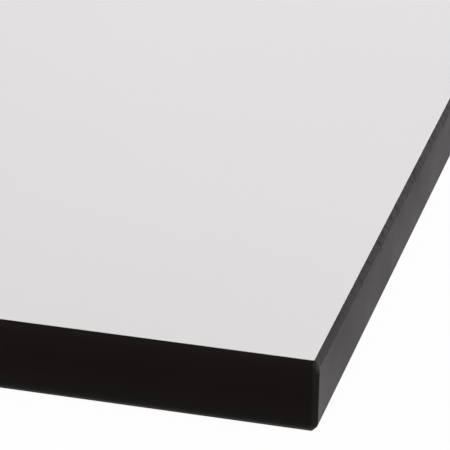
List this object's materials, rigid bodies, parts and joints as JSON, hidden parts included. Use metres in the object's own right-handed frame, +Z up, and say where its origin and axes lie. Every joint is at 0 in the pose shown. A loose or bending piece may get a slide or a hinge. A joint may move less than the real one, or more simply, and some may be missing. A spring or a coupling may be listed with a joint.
{
  "type": "compact laminate sheet",
  "caption": "Flat rectangular compact laminate sheet with a solid black core, pale grey-white decor faces and small 45 degree eased edges all round.",
  "frame": {"origin": "middle of the underside, on the surface that the sheet lies on", "axes": "+X along the sheet's length, +Y across its width, +Z up through its thickness, out of the top decor face"},
  "size_m": [3.05, 1.3, 0.013],
  "materials": {
    "laminate": "melamine decor faces with a fine matt texture over a solid black phenolic core that shows at the edges"
  },
  "bodies": {
    "root": {"laminate_sheet": "laminate"}
  },
  "joints": []
}
